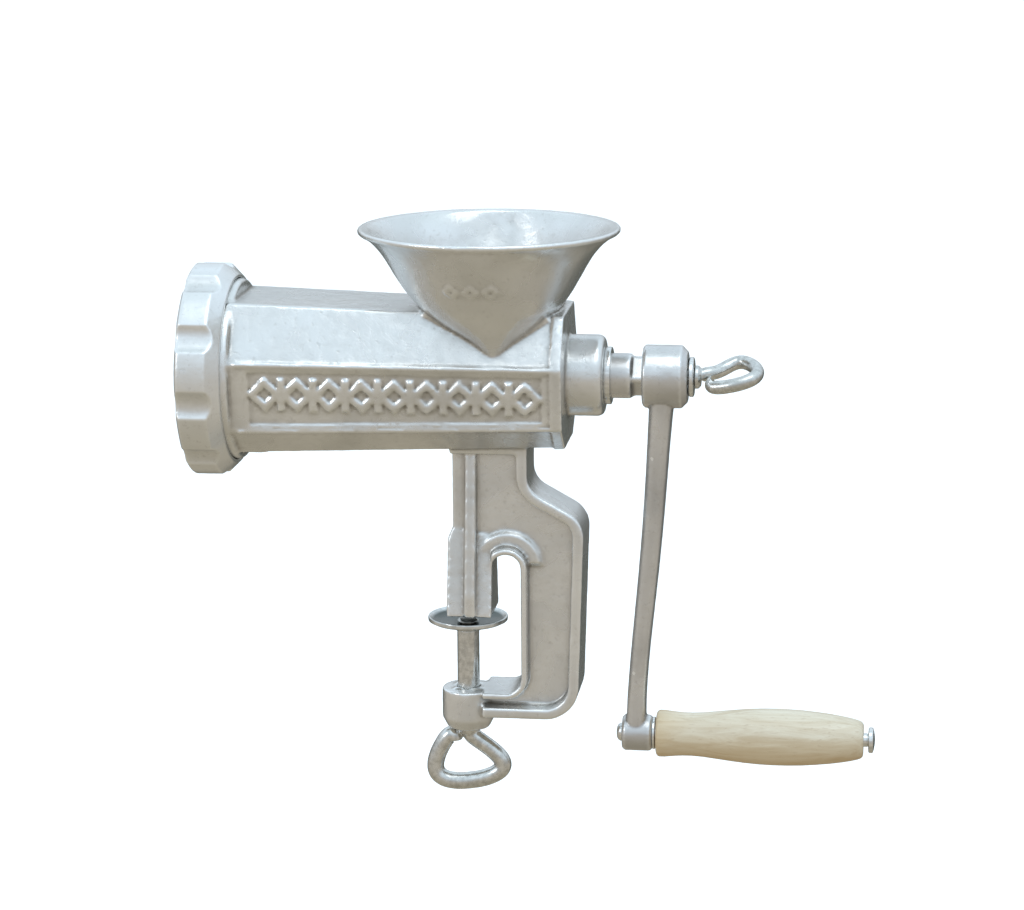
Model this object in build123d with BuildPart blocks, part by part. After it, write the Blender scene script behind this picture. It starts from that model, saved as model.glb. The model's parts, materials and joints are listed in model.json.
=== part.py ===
"""Hand crank meat grinder that clamps to a table edge, in millimetres.

+X runs along the auger towards the crank, +Z is up, and the front of the casting faces -Y.
The origin is the clamping face of the upper jaw, on the axis of the clamp screw.
"""

import os
from math import copysign, cos, pi, radians, sin

from build123d import *

os.makedirs("parts", exist_ok=True)

# ---- driving dimensions ----------------------------------------------------
AXIS_Z = 104.0  # auger axis above the clamping face
PLATE_R = 35.0  # 70 mm grinding plate
CRANK_R = 156.7  # auger axis to handle axis
ARM_TOP = -33.5  # top of the lower arm, which sets how thick a table fits
RUN = 0.05  # radial clearance of a running fit
GAP = 0.35  # gap between neighbours that move past each other

# stations along the auger axis, from the outlet to the crank
NUT_FRONT = -116.0
LIP = 4.4
PLATE_X = NUT_FRONT + LIP + GAP  # front face of the grinding plate
PLATE_T = 7.5
KNIFE_X = PLATE_X + PLATE_T + GAP
KNIFE_T = 6.0
AUGER_X = KNIFE_X + KNIFE_T
NUT_BACK = -97.6
COLLAR_X = PLATE_X + 1.0  # the plate stands proud of the threaded collar
RECESS_X = AUGER_X + 0.7
BARREL_FRONT = -97.0
BARREL_BACK = 44.0
CHAMBER_BACK = 40.0
BOSS_BACK = 59.5
BUSH_FLANGE = 2.8
SHANK_BACK = 70.6
HUB_X = 75.4
HUB_LENGTH = 18.9
HUB_BACK = HUB_X + HUB_LENGTH

# radii about the auger axis
THREAD_R = 38.5
BORE_FRONT_R = 27.2
BORE_BACK_R = 24.0
BOSS_R = 17.2
BUSH_R = 12.2
BUSH_BODY_R = 11.8
SHANK_R = 9.5
HUB_R = 13.3
TANG = 13.0  # across the flats of the squared end

# the handle and the clamp screw
HANDLE_Z = AXIS_Z - CRANK_R
EYE_X = 67.0
EYE_LENGTH = 13.0
SPINDLE_R = 3.0
CLAMP_R = 4.8


def across(x, height=AXIS_Z, turn=0.0):
    """Plane across the auger at x, with its own x along +Y and its own y along +Z."""
    return Plane(origin=(x, 0, height), x_dir=(0, cos(radians(turn)), sin(radians(turn))), z_dir=(1, 0, 0))


def side(height=0.0):
    """Plane facing the front, with its own x along +X and its own y along +Z."""
    return Plane(origin=(0, 0, height), x_dir=(1, 0, 0), z_dir=(0, -1, 0))


def turned(points, height=AXIS_Z):
    """Solid of revolution about a line along X at a height, from (x, radius) points."""
    with BuildPart(mode=Mode.PRIVATE) as shape:
        with BuildSketch(side(height)):
            with BuildLine():
                Polyline(*points, close=True)
            make_face()
        revolve(axis=Axis((0, 0, height), (1, 0, 0)))
    return shape.part


def near(sketch, x, y):
    """The corner of a sketch nearest to a point."""
    return sketch.vertices().sort_by(lambda corner: (corner.X - x) ** 2 + (corner.Y - y) ** 2)[0]


def bent_loop(plane, reach, half, rod, gap):
    """Teardrop handle bent from a rod: leaves the screw along the plane's x and ends beside it."""
    with BuildPart(mode=Mode.PRIVATE) as loop:
        with BuildLine(plane) as path:
            Spline(
                (0, 0),
                (0.24 * reach, 0.26 * half),
                (0.68 * reach, half),
                (reach, 0),
                (0.68 * reach, -half),
                (0.25 * reach, -gap),
                tangents=[(1, 0), (-0.8, 0.6)],
            )
        with BuildSketch(Plane(origin=path.line @ 0, z_dir=path.line % 0)):
            Circle(rod)
        sweep()
    return loop.part


def save(piece, name):
    """Labels a finished piece and writes it as one STEP file."""
    piece.part.label = name
    export_step(piece.part, f"parts/{name}.step")


# ---- body casting: barrel, hopper, rear boss and clamp frame ---------------
# The barrel is an eight-sided taper. Each corner is (Y, Z) for a half height of 1.
OCTAGON = [(0.72, 0.985), (1.12, 0.26), (0.985, -0.64), (0.53, -1.01)]
HALF_FRONT = 32.6
HALF_BACK = 28.0
PANEL_LEFT, PANEL_RIGHT = -90.0, 39.0
PANEL_MARGIN = 2.6
ORNAMENT_DEPTH = 0.8
BAND, BAND_RISE = 4.4, 0.7

HOPPER_X = 10.4
HOPPER_RIM = 62.2  # above the auger axis
HOPPER_R = 55.0
RIM_BAND = 2.0
SECTION_POINTS = 24
FUNNEL_SECTIONS = [  # height above the auger axis, middle x, half sizes along x and y, squareness
    (9.0, 15.6, 5.6, 28.4, 2.0),
    (17.0, 15.0, 13.5, 31.6, 2.1),
    (30.0, 12.0, 29.6, 38.4, 2.4),
    (40.0, 10.6, 37.4, 44.0, 2.15),
]
WALL = 3.0

FRAME_HALF = 13.5  # half depth of the clamp frame's flanges
WEB_HALF = 5.5
ARM_BOTTOM = -44.4
STEM_LEFT = -5.5
JAW_LEFT, JAW_RIGHT = -7.6, 11.8
JAW_HALF, JAW_FOOT_HALF = 5.6, 12.4  # half depth at the top and at the foot
JAW_TOP = 38.0
SLOT_TOP = 28.0
SPINE_IN = 24.5
RIM_WIDTH = 4.6
CRESCENT_R = 15.4
ROOT_R, ROOT_TOP = 5.0, 74.2
CRESCENT_RISE, CRESCENT_SLOPE = 1.9, 42.0  # soft ridge above the arch, and the slope of its sides
RIB_X, RIB_T = 0.2, 4.8
LOWER_BOSS_R = 11.4
LOWER_BOSS_END = -47.4
FLANGE_LEFT = 7.6  # the lower arm's flanges run into the boss here
ARCH_R = (SPINE_IN - JAW_RIGHT) / 2 - 0.1


def half_height(x):
    """Half height of the barrel at x."""
    share = (x - BARREL_FRONT) / (BARREL_BACK - BARREL_FRONT)
    return HALF_FRONT + (HALF_BACK - HALF_FRONT) * share


def octagon(x, rise=0.0):
    """Corners of the barrel's section at x, in the section's own plane, made larger by rise."""
    right = [((half_height(x) + rise) * y, (half_height(x) + rise) * z) for y, z in OCTAGON]
    return right + [(-y, z) for y, z in reversed(right)]


def facet_corner(x, index, hand):
    """One corner of the barrel's section at x, on the side given by hand (-1 front, +1 back)."""
    y, z = OCTAGON[index]
    return Vector(x, hand * half_height(x) * y, AXIS_Z + half_height(x) * z)


def relief(hand):
    """Shallow pocket in one side facet, which leaves a border and a row of lozenges and bars."""
    top_left, top_right = facet_corner(PANEL_LEFT, 1, hand), facet_corner(PANEL_RIGHT, 1, hand)
    low_left, low_right = facet_corner(PANEL_LEFT, 2, hand), facet_corner(PANEL_RIGHT, 2, hand)
    along = (top_right - top_left).normalized() * -hand
    up = (top_left - low_left).normalized()
    facet = Plane(origin=(top_left + low_right) * 0.5, x_dir=along, z_dir=along.cross(up))
    flat = [facet.to_local_coords(point) for point in (top_left, top_right, low_right, low_left)]
    with BuildPart(mode=Mode.PRIVATE) as pocket:
        with BuildSketch(facet):
            with BuildLine():
                Polyline(*[(point.X, point.Y) for point in flat], close=True)
            make_face()
            offset(amount=-PANEL_MARGIN, kind=Kind.INTERSECTION, mode=Mode.REPLACE)
            with GridLocations(13.6, 1, 9, 1):
                RegularPolygon(7.0, 4, mode=Mode.SUBTRACT)
                RegularPolygon(3.6, 4)
            with GridLocations(13.6, 1, 8, 1):
                SlotOverall(14.0, 2.6, rotation=90, mode=Mode.SUBTRACT)
        extrude(amount=ORNAMENT_DEPTH, both=True)
    return pocket.part


def rounded_section(height, middle, half_x, half_y, power):
    """Closed outline between an ellipse (power 2) and a box, as a sketch across the funnel."""
    with BuildSketch(Plane.XY.offset(AXIS_Z + height), mode=Mode.PRIVATE) as section:
        with BuildLine():
            points = []
            for step in range(SECTION_POINTS):
                turn = 2 * pi * step / SECTION_POINTS
                wide, deep = cos(turn), sin(turn)
                points.append((
                    middle + half_x * copysign(abs(wide) ** (2 / power), wide),
                    half_y * copysign(abs(deep) ** (2 / power), deep),
                ))
            Spline(*points, periodic=True)
        make_face()
    return section.sketch


def funnel(shrink, top):
    """Hopper solid, narrow where it dips into the barrel's sides and round at the rim."""
    with BuildPart(mode=Mode.PRIVATE) as cone:
        for height, middle, half_x, half_y, power in FUNNEL_SECTIONS:
            add(rounded_section(height, middle, half_x - shrink, half_y - shrink, power))
        add(rounded_section(top, HOPPER_X, HOPPER_R - 0.6 - shrink, HOPPER_R - 0.6 - shrink, 2.0))
        loft()
    return cone.part


def clamp_frame():
    """Stem, jaw, spine and lower arm, with a web between two flanges."""
    with BuildPart(mode=Mode.PRIVATE) as frame:
        for depth, strip in ((WEB_HALF, 0.0), (FRAME_HALF, RIM_WIDTH)):
            with BuildSketch(side()) as outline:
                with BuildLine():
                    Polyline(
                        (-40, 76), (27.4, 76), (27.4, 56.5), (51.6, 43.0), (48.8, ARM_BOTTOM), (-40, ARM_BOTTOM),
                        close=True,
                    )
                make_face()
                fillet(near(outline, 27.4, 56.5), radius=10)
                fillet(near(outline, 51.6, 43.0), radius=12)
                fillet(near(outline, 48.8, ARM_BOTTOM), radius=15)
                if strip:
                    offset(amount=-strip, mode=Mode.SUBTRACT)
                with Locations((-20.5 + STEM_LEFT, 0)):
                    Rectangle(41, 200, mode=Mode.SUBTRACT)
                if strip:
                    with Locations((FLANGE_LEFT - 30, ARM_BOTTOM)):
                        Rectangle(60, 30, mode=Mode.SUBTRACT)
            extrude(amount=depth, both=True)
        with BuildSketch(side()) as throat:
            with BuildLine():
                Polyline(
                    (-60, 0), (JAW_RIGHT, 0), (JAW_RIGHT, SLOT_TOP), (SPINE_IN, SLOT_TOP), (SPINE_IN, ARM_TOP),
                    (-60, ARM_TOP), close=True,
                )
            make_face()
            fillet(near(throat, JAW_RIGHT, SLOT_TOP), radius=ARCH_R)
            fillet(near(throat, SPINE_IN, SLOT_TOP), radius=ARCH_R)
            fillet(near(throat, SPINE_IN, ARM_TOP), radius=7)
            offset(amount=2.6, kind=Kind.INTERSECTION)
            with Locations((-30, 0), (JAW_RIGHT - 30, 0)):
                Rectangle(60, 60, mode=Mode.SUBTRACT)
            with Locations((-30 + STEM_LEFT, 0)):
                Rectangle(60, 200, mode=Mode.SUBTRACT)
            with Locations((FLANGE_LEFT - 30, ARM_BOTTOM)):
                Rectangle(60, 30, mode=Mode.SUBTRACT)
        extrude(amount=FRAME_HALF, both=True)
    return frame.part


def throat_cut():
    """The gap that takes the table edge."""
    with BuildPart(mode=Mode.PRIVATE) as cut:
        with BuildSketch(side()) as throat:
            with BuildLine():
                Polyline(
                    (-60, 0), (JAW_RIGHT, 0), (JAW_RIGHT, SLOT_TOP), (SPINE_IN, SLOT_TOP), (SPINE_IN, ARM_TOP),
                    (-60, ARM_TOP), close=True,
                )
            make_face()
            fillet(near(throat, JAW_RIGHT, SLOT_TOP), radius=ARCH_R)
            fillet(near(throat, SPINE_IN, SLOT_TOP), radius=ARCH_R)
            fillet(near(throat, SPINE_IN, ARM_TOP), radius=7)
        extrude(amount=40, both=True)
    return cut.part


with BuildPart() as body_casting:
    with BuildSketch(across(BARREL_FRONT)):
        Polygon(*octagon(BARREL_FRONT), align=None)
    with BuildSketch(across(BARREL_BACK)):
        Polygon(*octagon(BARREL_BACK), align=None)
    loft(ruled=True)
    with BuildSketch(across(BARREL_BACK - BAND)):
        Polygon(*octagon(BARREL_BACK - BAND, BAND_RISE), align=None)
    with BuildSketch(across(BARREL_BACK)):
        Polygon(*octagon(BARREL_BACK, BAND_RISE), align=None)
    loft(ruled=True)
    add(relief(-1), mode=Mode.SUBTRACT)
    add(relief(1), mode=Mode.SUBTRACT)
    with BuildSketch(side()) as jaw_face:
        with BuildLine():
            Polyline(
                (JAW_LEFT, 0), (JAW_RIGHT, 0), (JAW_RIGHT, 34), (STEM_LEFT, JAW_TOP), (JAW_LEFT, 33), close=True
            )
        make_face()
    extrude(amount=JAW_FOOT_HALF, both=True)
    for hand in (-1, 1):
        with BuildSketch(across(JAW_LEFT - 5, 0)):
            with BuildLine():
                Polyline(
                    (hand * JAW_FOOT_HALF, 0), (hand * JAW_HALF, JAW_TOP), (hand * 30, JAW_TOP), (hand * 30, 0),
                    close=True,
                )
            make_face()
        extrude(amount=JAW_RIGHT - JAW_LEFT + 10, mode=Mode.SUBTRACT)
    for hand in (-1, 1):
        ridge_face = Plane(origin=(0, hand * WEB_HALF, 0), x_dir=(-hand, 0, 0), z_dir=(0, hand, 0))
        with BuildSketch(ridge_face):
            with Locations((-hand * (JAW_RIGHT + SPINE_IN) / 2, SLOT_TOP - ARCH_R)):
                Circle(CRESCENT_R)
            with Locations((0, SLOT_TOP - ARCH_R - 20)):
                Rectangle(200, 40, mode=Mode.SUBTRACT)
        extrude(amount=CRESCENT_RISE, taper=CRESCENT_SLOPE)
    with BuildSketch(side()) as stem_root:
        with BuildLine():
            Polyline(
                (STEM_LEFT + 1, 60), (STEM_LEFT + 1, 78), (STEM_LEFT - ROOT_R, 78), (STEM_LEFT - ROOT_R, ROOT_TOP),
                (STEM_LEFT, ROOT_TOP - ROOT_R), close=True,
            )
        make_face()
        with Locations((STEM_LEFT - ROOT_R, ROOT_TOP - ROOT_R)):
            Circle(ROOT_R, mode=Mode.SUBTRACT)
    extrude(amount=WEB_HALF, both=True)
    with BuildSketch(across(RIB_X, 0)):
        with BuildLine():
            Polyline((-14, 0), (14, 0), (14, 9), (6.5, 76), (-6.5, 76), (-14, 9), close=True)
        make_face()
    extrude(amount=RIB_T)
    add(clamp_frame())
    with BuildSketch(Plane.XY.offset(ARM_TOP - 0.9)):
        Circle(LOWER_BOSS_R)
    extrude(amount=LOWER_BOSS_END - ARM_TOP + 0.9)
    with BuildSketch(Plane.XY.offset(LOWER_BOSS_END)):
        Circle(LOWER_BOSS_R)
    with BuildSketch(Plane.XY.offset(LOWER_BOSS_END - 4.6)):
        Circle(LOWER_BOSS_R - 2.4)
    loft()
    with BuildSketch(Plane.XY.offset(AXIS_Z - half_height(-90) - 2.0)):
        with Locations((-90.2, 0)):
            RectangleRounded(13, 22, 3)
    extrude(amount=6)
    add(turned([(COLLAR_X, 0), (COLLAR_X, THREAD_R - 0.8), (COLLAR_X + 0.8, THREAD_R), (BARREL_FRONT + 1, THREAD_R),
                (BARREL_FRONT + 2, THREAD_R - 1), (BARREL_FRONT + 2, 0)]))
    add(turned([(BARREL_BACK - 2, 0), (BARREL_BACK - 2, BOSS_R), (BOSS_BACK - 2.5, BOSS_R),
                (BOSS_BACK - 0.7, BOSS_R - 0.8), (BOSS_BACK, BOSS_R - 2.6), (BOSS_BACK, 0)]))
    add(funnel(0, HOPPER_RIM - RIM_BAND))
    with BuildSketch(Plane.XY.offset(AXIS_Z + HOPPER_RIM - RIM_BAND)):
        with Locations((HOPPER_X, 0)):
            Circle(HOPPER_R)
    extrude(amount=RIM_BAND)
    add(throat_cut(), mode=Mode.SUBTRACT)
    add(funnel(WALL, HOPPER_RIM + 0.1), mode=Mode.SUBTRACT)
    add(turned([(RECESS_X - 1, 0), (RECESS_X - 1, BORE_FRONT_R), (CHAMBER_BACK, BORE_BACK_R), (CHAMBER_BACK, 0)]),
        mode=Mode.SUBTRACT)
    add(turned([(COLLAR_X - 1, 0), (COLLAR_X - 1, PLATE_R + GAP), (RECESS_X, PLATE_R + GAP), (RECESS_X, 0)]),
        mode=Mode.SUBTRACT)
    add(turned([(CHAMBER_BACK - 1, 0), (CHAMBER_BACK - 1, BUSH_BODY_R), (BOSS_BACK + 1, BUSH_BODY_R),
                (BOSS_BACK + 1, 0)]), mode=Mode.SUBTRACT)
    with Locations(Location((0, 0, ARM_BOTTOM))):
        Cylinder(CLAMP_R + GAP, 60, mode=Mode.SUBTRACT)

# ---- pin that stops the grinding plate from turning ------------------------
PIN_R = 2.2
PIN_AT = AXIS_Z + PLATE_R
PIN_END = KNIFE_X - GAP
pin_line = turned([(PLATE_X + 2.0, 0), (PLATE_X + 2.0, PIN_R), (PIN_END, PIN_R), (PIN_END, 0)], PIN_AT)
with body_casting:
    add(pin_line, mode=Mode.SUBTRACT)
save(body_casting, "body_casting")

with BuildPart() as plate_locating_pin:
    add(pin_line)
save(plate_locating_pin, "plate_locating_pin")

# ---- rear bushing ----------------------------------------------------------
with BuildPart() as rear_bushing:
    add(turned([
        (CHAMBER_BACK + 0.8, SHANK_R + RUN), (CHAMBER_BACK + 0.8, BUSH_BODY_R), (BOSS_BACK, BUSH_BODY_R),
        (BOSS_BACK, BUSH_R), (BOSS_BACK + BUSH_FLANGE - 0.4, BUSH_R), (BOSS_BACK + BUSH_FLANGE, BUSH_R - 0.4),
        (BOSS_BACK + BUSH_FLANGE, SHANK_R + RUN),
    ]))
save(rear_bushing, "rear_bushing")

# ---- auger: shaft, flight, shank and squared end ---------------------------
FLIGHT_PITCH = 33.0
FLIGHT_T = 5.0
ROOT_FRONT, ROOT_BACK = 11.0, 14.0
FLIGHT_CLEAR = 0.6
STUD_R = 5.0
SCREW_HOLE_R = 3.9

with BuildPart() as flight:
    with BuildLine() as spiral:
        Helix(FLIGHT_PITCH, 122, 17.5, center=(AUGER_X + 3, 0, AXIS_Z), direction=(1, 0, 0))
    start = spiral.line @ 0
    outwards = (start - Vector(AUGER_X + 3, 0, AXIS_Z)).normalized()
    with BuildSketch(Plane(origin=start, x_dir=outwards, z_dir=spiral.line % 0)):
        Rectangle(20, FLIGHT_T)
    sweep(is_frenet=True)
    add(
        turned([
            (AUGER_X, 0), (AUGER_X, BORE_FRONT_R - FLIGHT_CLEAR), (CHAMBER_BACK, BORE_BACK_R - FLIGHT_CLEAR),
            (CHAMBER_BACK, 0),
        ]),
        mode=Mode.INTERSECT,
    )

with BuildPart() as auger:
    add(turned([
        (AUGER_X, 0), (AUGER_X, ROOT_FRONT), (CHAMBER_BACK - 5, ROOT_BACK), (CHAMBER_BACK - 5, 20.0),
        (CHAMBER_BACK - 2, 20.0), (CHAMBER_BACK - 2, SHANK_R), (SHANK_BACK, SHANK_R), (SHANK_BACK, 0),
    ]))
    add(flight.part)
    with BuildSketch(across(SHANK_BACK, AXIS_Z, 45)):
        RectangleRounded(TANG, TANG, 1.8)
    extrude(amount=HUB_BACK - SHANK_BACK - 1.0)
    add(turned([(AUGER_X - 1, 0), (AUGER_X - 1, STUD_R), (AUGER_X + 22, STUD_R), (AUGER_X + 22, 0)]),
        mode=Mode.SUBTRACT)
    add(turned([(HUB_X - 6, 0), (HUB_X - 6, SCREW_HOLE_R), (HUB_BACK, SCREW_HOLE_R), (HUB_BACK, 0)]),
        mode=Mode.SUBTRACT)
save(auger, "auger")

# ---- thrust washer behind the flight ---------------------------------------
with BuildPart() as thrust_washer:
    add(turned([
        (CHAMBER_BACK - 2, SHANK_R), (CHAMBER_BACK - 2, 19.0), (CHAMBER_BACK - GAP, 19.0),
        (CHAMBER_BACK - GAP, SHANK_R),
    ]))
save(thrust_washer, "thrust_washer")

# ---- stud that carries the knife and centres the plate ---------------------
KNIFE_SQUARE = 12.0
with BuildPart() as auger_stud:
    add(turned([
        (PLATE_X + 0.3, 0), (PLATE_X + 0.3, 5.2), (PLATE_X + 1.1, 6.0), (KNIFE_X, 6.0), (KNIFE_X, STUD_R),
        (AUGER_X + 20, STUD_R), (AUGER_X + 20, 0),
    ]))
    with BuildSketch(across(KNIFE_X)):
        RectangleRounded(KNIFE_SQUARE, KNIFE_SQUARE, 0.8)
    extrude(amount=KNIFE_T)
save(auger_stud, "auger_stud")

# ---- cutting knife ---------------------------------------------------------
BLADE_R = 33.0
with BuildPart() as cutting_knife:
    with BuildSketch(across(KNIFE_X)):
        Circle(11.5)
        for turn in range(4):
            with Locations(Rotation(0, 0, 90 * turn) * Location((BLADE_R / 2, 1.6))):
                Rectangle(BLADE_R, 8.0)
        Circle(BLADE_R, mode=Mode.INTERSECT)
        RectangleRounded(KNIFE_SQUARE, KNIFE_SQUARE, 0.8, mode=Mode.SUBTRACT)
    extrude(amount=KNIFE_T)
    for turn in range(4):
        with BuildSketch(across(KNIFE_X + 2.2, AXIS_Z, 90 * turn)):
            with Locations((13 + 12, 3.9)):
                Rectangle(24, 3.4)
        extrude(amount=KNIFE_T, mode=Mode.SUBTRACT)
save(cutting_knife, "cutting_knife")

# ---- grinding plate --------------------------------------------------------
HOLE_R = 3.0
with BuildPart() as grinding_plate:
    with BuildSketch(across(PLATE_X)):
        Circle(PLATE_R)
        Circle(6.0 + RUN, mode=Mode.SUBTRACT)
        for ring, holes in ((12.5, 8), (20.0, 14), (27.5, 20)):
            with PolarLocations(ring, holes):
                Circle(HOLE_R, mode=Mode.SUBTRACT)
        with Locations((0, PLATE_R)):
            Circle(PIN_R + GAP, mode=Mode.SUBTRACT)
    extrude(amount=PLATE_T)
save(grinding_plate, "grinding_plate")

# ---- ring nut with a scalloped grip band -----------------------------------
NUT_R = 45.4
NUT_HOLE_R = 31.5
LOBES = 10
SCALLOP_R, SCALLOP_DEPTH = 9.6, 2.5
SCALLOP_START = 9.7  # degrees from +Y
with BuildPart() as ring_nut:
    add(turned([
        (NUT_FRONT, NUT_HOLE_R), (NUT_FRONT, NUT_R - 1.6), (NUT_FRONT + 1.2, NUT_R), (NUT_FRONT + 13, NUT_R),
        (NUT_BACK - 0.8, NUT_R - 4.6), (NUT_BACK, NUT_R - 5.4), (NUT_BACK, THREAD_R + GAP),
        (NUT_FRONT + LIP, THREAD_R + GAP), (NUT_FRONT + LIP, NUT_HOLE_R),
    ]))
    with BuildSketch(across(NUT_FRONT - 1)):
        with PolarLocations(NUT_R + SCALLOP_R - SCALLOP_DEPTH, LOBES, start_angle=SCALLOP_START):
            Circle(SCALLOP_R)
    extrude(amount=NUT_BACK - NUT_FRONT + 2, mode=Mode.SUBTRACT)
save(ring_nut, "ring_nut")

# ---- crank arm -------------------------------------------------------------
ARM_SECTIONS = [  # height, middle x, half thickness, half width
    (AXIS_Z - 2.0, 84.0, 5.4, 9.5),
    (AXIS_Z - 18.5, 82.7, 4.8, 8.6),
    (AXIS_Z - 75.0, 78.9, 4.2, 7.4),
    (AXIS_Z - 119.5, 74.7, 3.9, 6.7),
    (HANDLE_Z + 2.0, 73.0, 4.2, 6.6),
]
with BuildPart() as crank_arm:
    for height, middle, thick, wide in ARM_SECTIONS:
        with BuildSketch(Plane.XY.offset(height)):
            with Locations((middle, 0)):
                RectangleRounded(2 * thick, 2 * wide, 0.8 * thick)
    loft()
    add(turned([
        (HUB_X, 0), (HUB_X, HUB_R - 1.0), (HUB_X + 1.0, HUB_R), (HUB_BACK - 2.6, HUB_R), (HUB_BACK, 10.6),
        (HUB_BACK, 0),
    ]))
    add(turned([
        (EYE_X, 0), (EYE_X, 6.8), (EYE_X + 1.2, 7.8), (EYE_X + EYE_LENGTH - 1.2, 7.8), (EYE_X + EYE_LENGTH, 6.8),
        (EYE_X + EYE_LENGTH, 0),
    ], HANDLE_Z))
    with BuildSketch(across(HUB_X - 5, AXIS_Z, 45)):
        RectangleRounded(TANG, TANG, 1.8)
    extrude(amount=HUB_LENGTH + 6, mode=Mode.SUBTRACT)
    add(turned([(EYE_X - 1, 0), (EYE_X - 1, SPINDLE_R), (EYE_X + 15, SPINDLE_R), (EYE_X + 15, 0)], HANDLE_Z),
        mode=Mode.SUBTRACT)
save(crank_arm, "crank_arm")

# ---- washer and thumb screw that hold the crank on -------------------------
WASHER_R = 8.4
WASHER_T = 2.2
NECK_R = 3.6
WASHER_X = HUB_BACK + GAP
COLLAR_BACK = WASHER_X + WASHER_T + GAP
with BuildPart() as crank_washer:
    add(turned([
        (WASHER_X, NECK_R + GAP), (WASHER_X, WASHER_R), (WASHER_X + WASHER_T, WASHER_R),
        (WASHER_X + WASHER_T, NECK_R + GAP),
    ]))
save(crank_washer, "crank_washer")

THUMB_TILT, THUMB_RISE = 19.0, 7.0
thumb_plane = Plane(
    origin=(COLLAR_BACK + 2.0, 0, AXIS_Z),
    x_dir=(cos(radians(THUMB_RISE)), 0, sin(radians(THUMB_RISE))),
    z_dir=(
        -sin(radians(THUMB_RISE)) * cos(radians(THUMB_TILT)),
        -sin(radians(THUMB_TILT)),
        cos(radians(THUMB_RISE)) * cos(radians(THUMB_TILT)),
    ),
)
with BuildPart() as crank_thumb_screw:
    add(turned([
        (HUB_X - 2, 0), (HUB_X - 2, NECK_R), (COLLAR_BACK, NECK_R), (COLLAR_BACK, 4.9), (COLLAR_BACK + 1.4, 4.9),
        (COLLAR_BACK + 2.6, NECK_R), (COLLAR_BACK + 2.6, 0),
    ]))
    add(bent_loop(thumb_plane, 24.0, 9.2, 2.9, 4.7))
save(crank_thumb_screw, "crank_thumb_screw")

# ---- handle: spindle, inner washer and wooden grip -------------------------
GRIP_X = 81.6
GRIP_END = 170.4
HEAD_X = 171.2
with BuildPart() as handle_spindle:
    add(turned([
        (EYE_X - 2.6, 0), (EYE_X - 2.6, 2.4), (EYE_X - 1.2, 4.0), (EYE_X, 4.0), (EYE_X, SPINDLE_R),
        (HEAD_X, SPINDLE_R), (HEAD_X, 5.5), (HEAD_X + 2.4, 5.2), (HEAD_X + 4.3, 3.0), (HEAD_X + 4.3, 0),
    ], HANDLE_Z))
save(handle_spindle, "handle_spindle")

with BuildPart() as handle_inner_washer:
    add(turned([
        (EYE_X + EYE_LENGTH, SPINDLE_R), (EYE_X + EYE_LENGTH, 7.0), (EYE_X + EYE_LENGTH + 1.2, 7.0),
        (EYE_X + EYE_LENGTH + 1.2, SPINDLE_R),
    ], HANDLE_Z))
save(handle_inner_washer, "handle_inner_washer")

with BuildPart() as handle_grip:
    with BuildSketch(side(HANDLE_Z)):
        with BuildLine():
            Line((GRIP_X, SPINDLE_R + RUN), (GRIP_X, 9.2))
            Spline(
                (GRIP_X, 9.2), (83.2, 10.2), (96.0, 9.3), (114.0, 11.0), (133.0, 12.2), (144.0, 11.9),
                (161.0, 10.0), (168.5, 8.4), (GRIP_END, 6.6),
            )
            Line((GRIP_END, 6.6), (GRIP_END, SPINDLE_R + RUN))
            Line((GRIP_END, SPINDLE_R + RUN), (GRIP_X, SPINDLE_R + RUN))
        make_face()
    revolve(axis=Axis((0, 0, HANDLE_Z), (1, 0, 0)))
save(handle_grip, "handle_grip")

# ---- clamp screw and its swivelling pad ------------------------------------
PAD_TOP = -2.4
PAD_R = 17.2
STUD_NECK_R = 3.4
LOOP_TOP = LOWER_BOSS_END - 4.0
with BuildPart() as clamp_pad:
    with BuildSketch(side()):
        with BuildLine():
            Polyline(
                (STUD_NECK_R + GAP, PAD_TOP - 3.0), (15.2, PAD_TOP - 1.4), (16.2, PAD_TOP), (PAD_R, PAD_TOP),
                (PAD_R, PAD_TOP - 1.8), (12.0, PAD_TOP - 3.6), (7.0, PAD_TOP - 5.6), (STUD_NECK_R + GAP, PAD_TOP - 5.6),
                close=True,
            )
        make_face()
    revolve(axis=Axis.Z)
save(clamp_pad, "clamp_pad")

with BuildPart() as clamp_screw:
    with BuildSketch(side()):
        with BuildLine():
            Polyline(
                (0, PAD_TOP - 1.0), (3.6, PAD_TOP - 1.2), (5.2, PAD_TOP - 2.5), (STUD_NECK_R, PAD_TOP - 2.5),
                (STUD_NECK_R, PAD_TOP - 5.6 - GAP), (CLAMP_R, PAD_TOP - 5.6 - GAP), (CLAMP_R, LOOP_TOP - 1.0),
                (3.9, LOOP_TOP - 4.0), (0, LOOP_TOP - 4.0), close=True,
            )
        make_face()
    revolve(axis=Axis.Z)
    add(bent_loop(Plane(origin=(0, 0, LOOP_TOP - 1.0), x_dir=(0, 0, -1), z_dir=(0, -1, 0)), 24.8, 14.8, 3.7, 6.7))
save(clamp_screw, "clamp_screw")
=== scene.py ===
import json
import math

import bpy
from mathutils import Matrix, Vector


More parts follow.
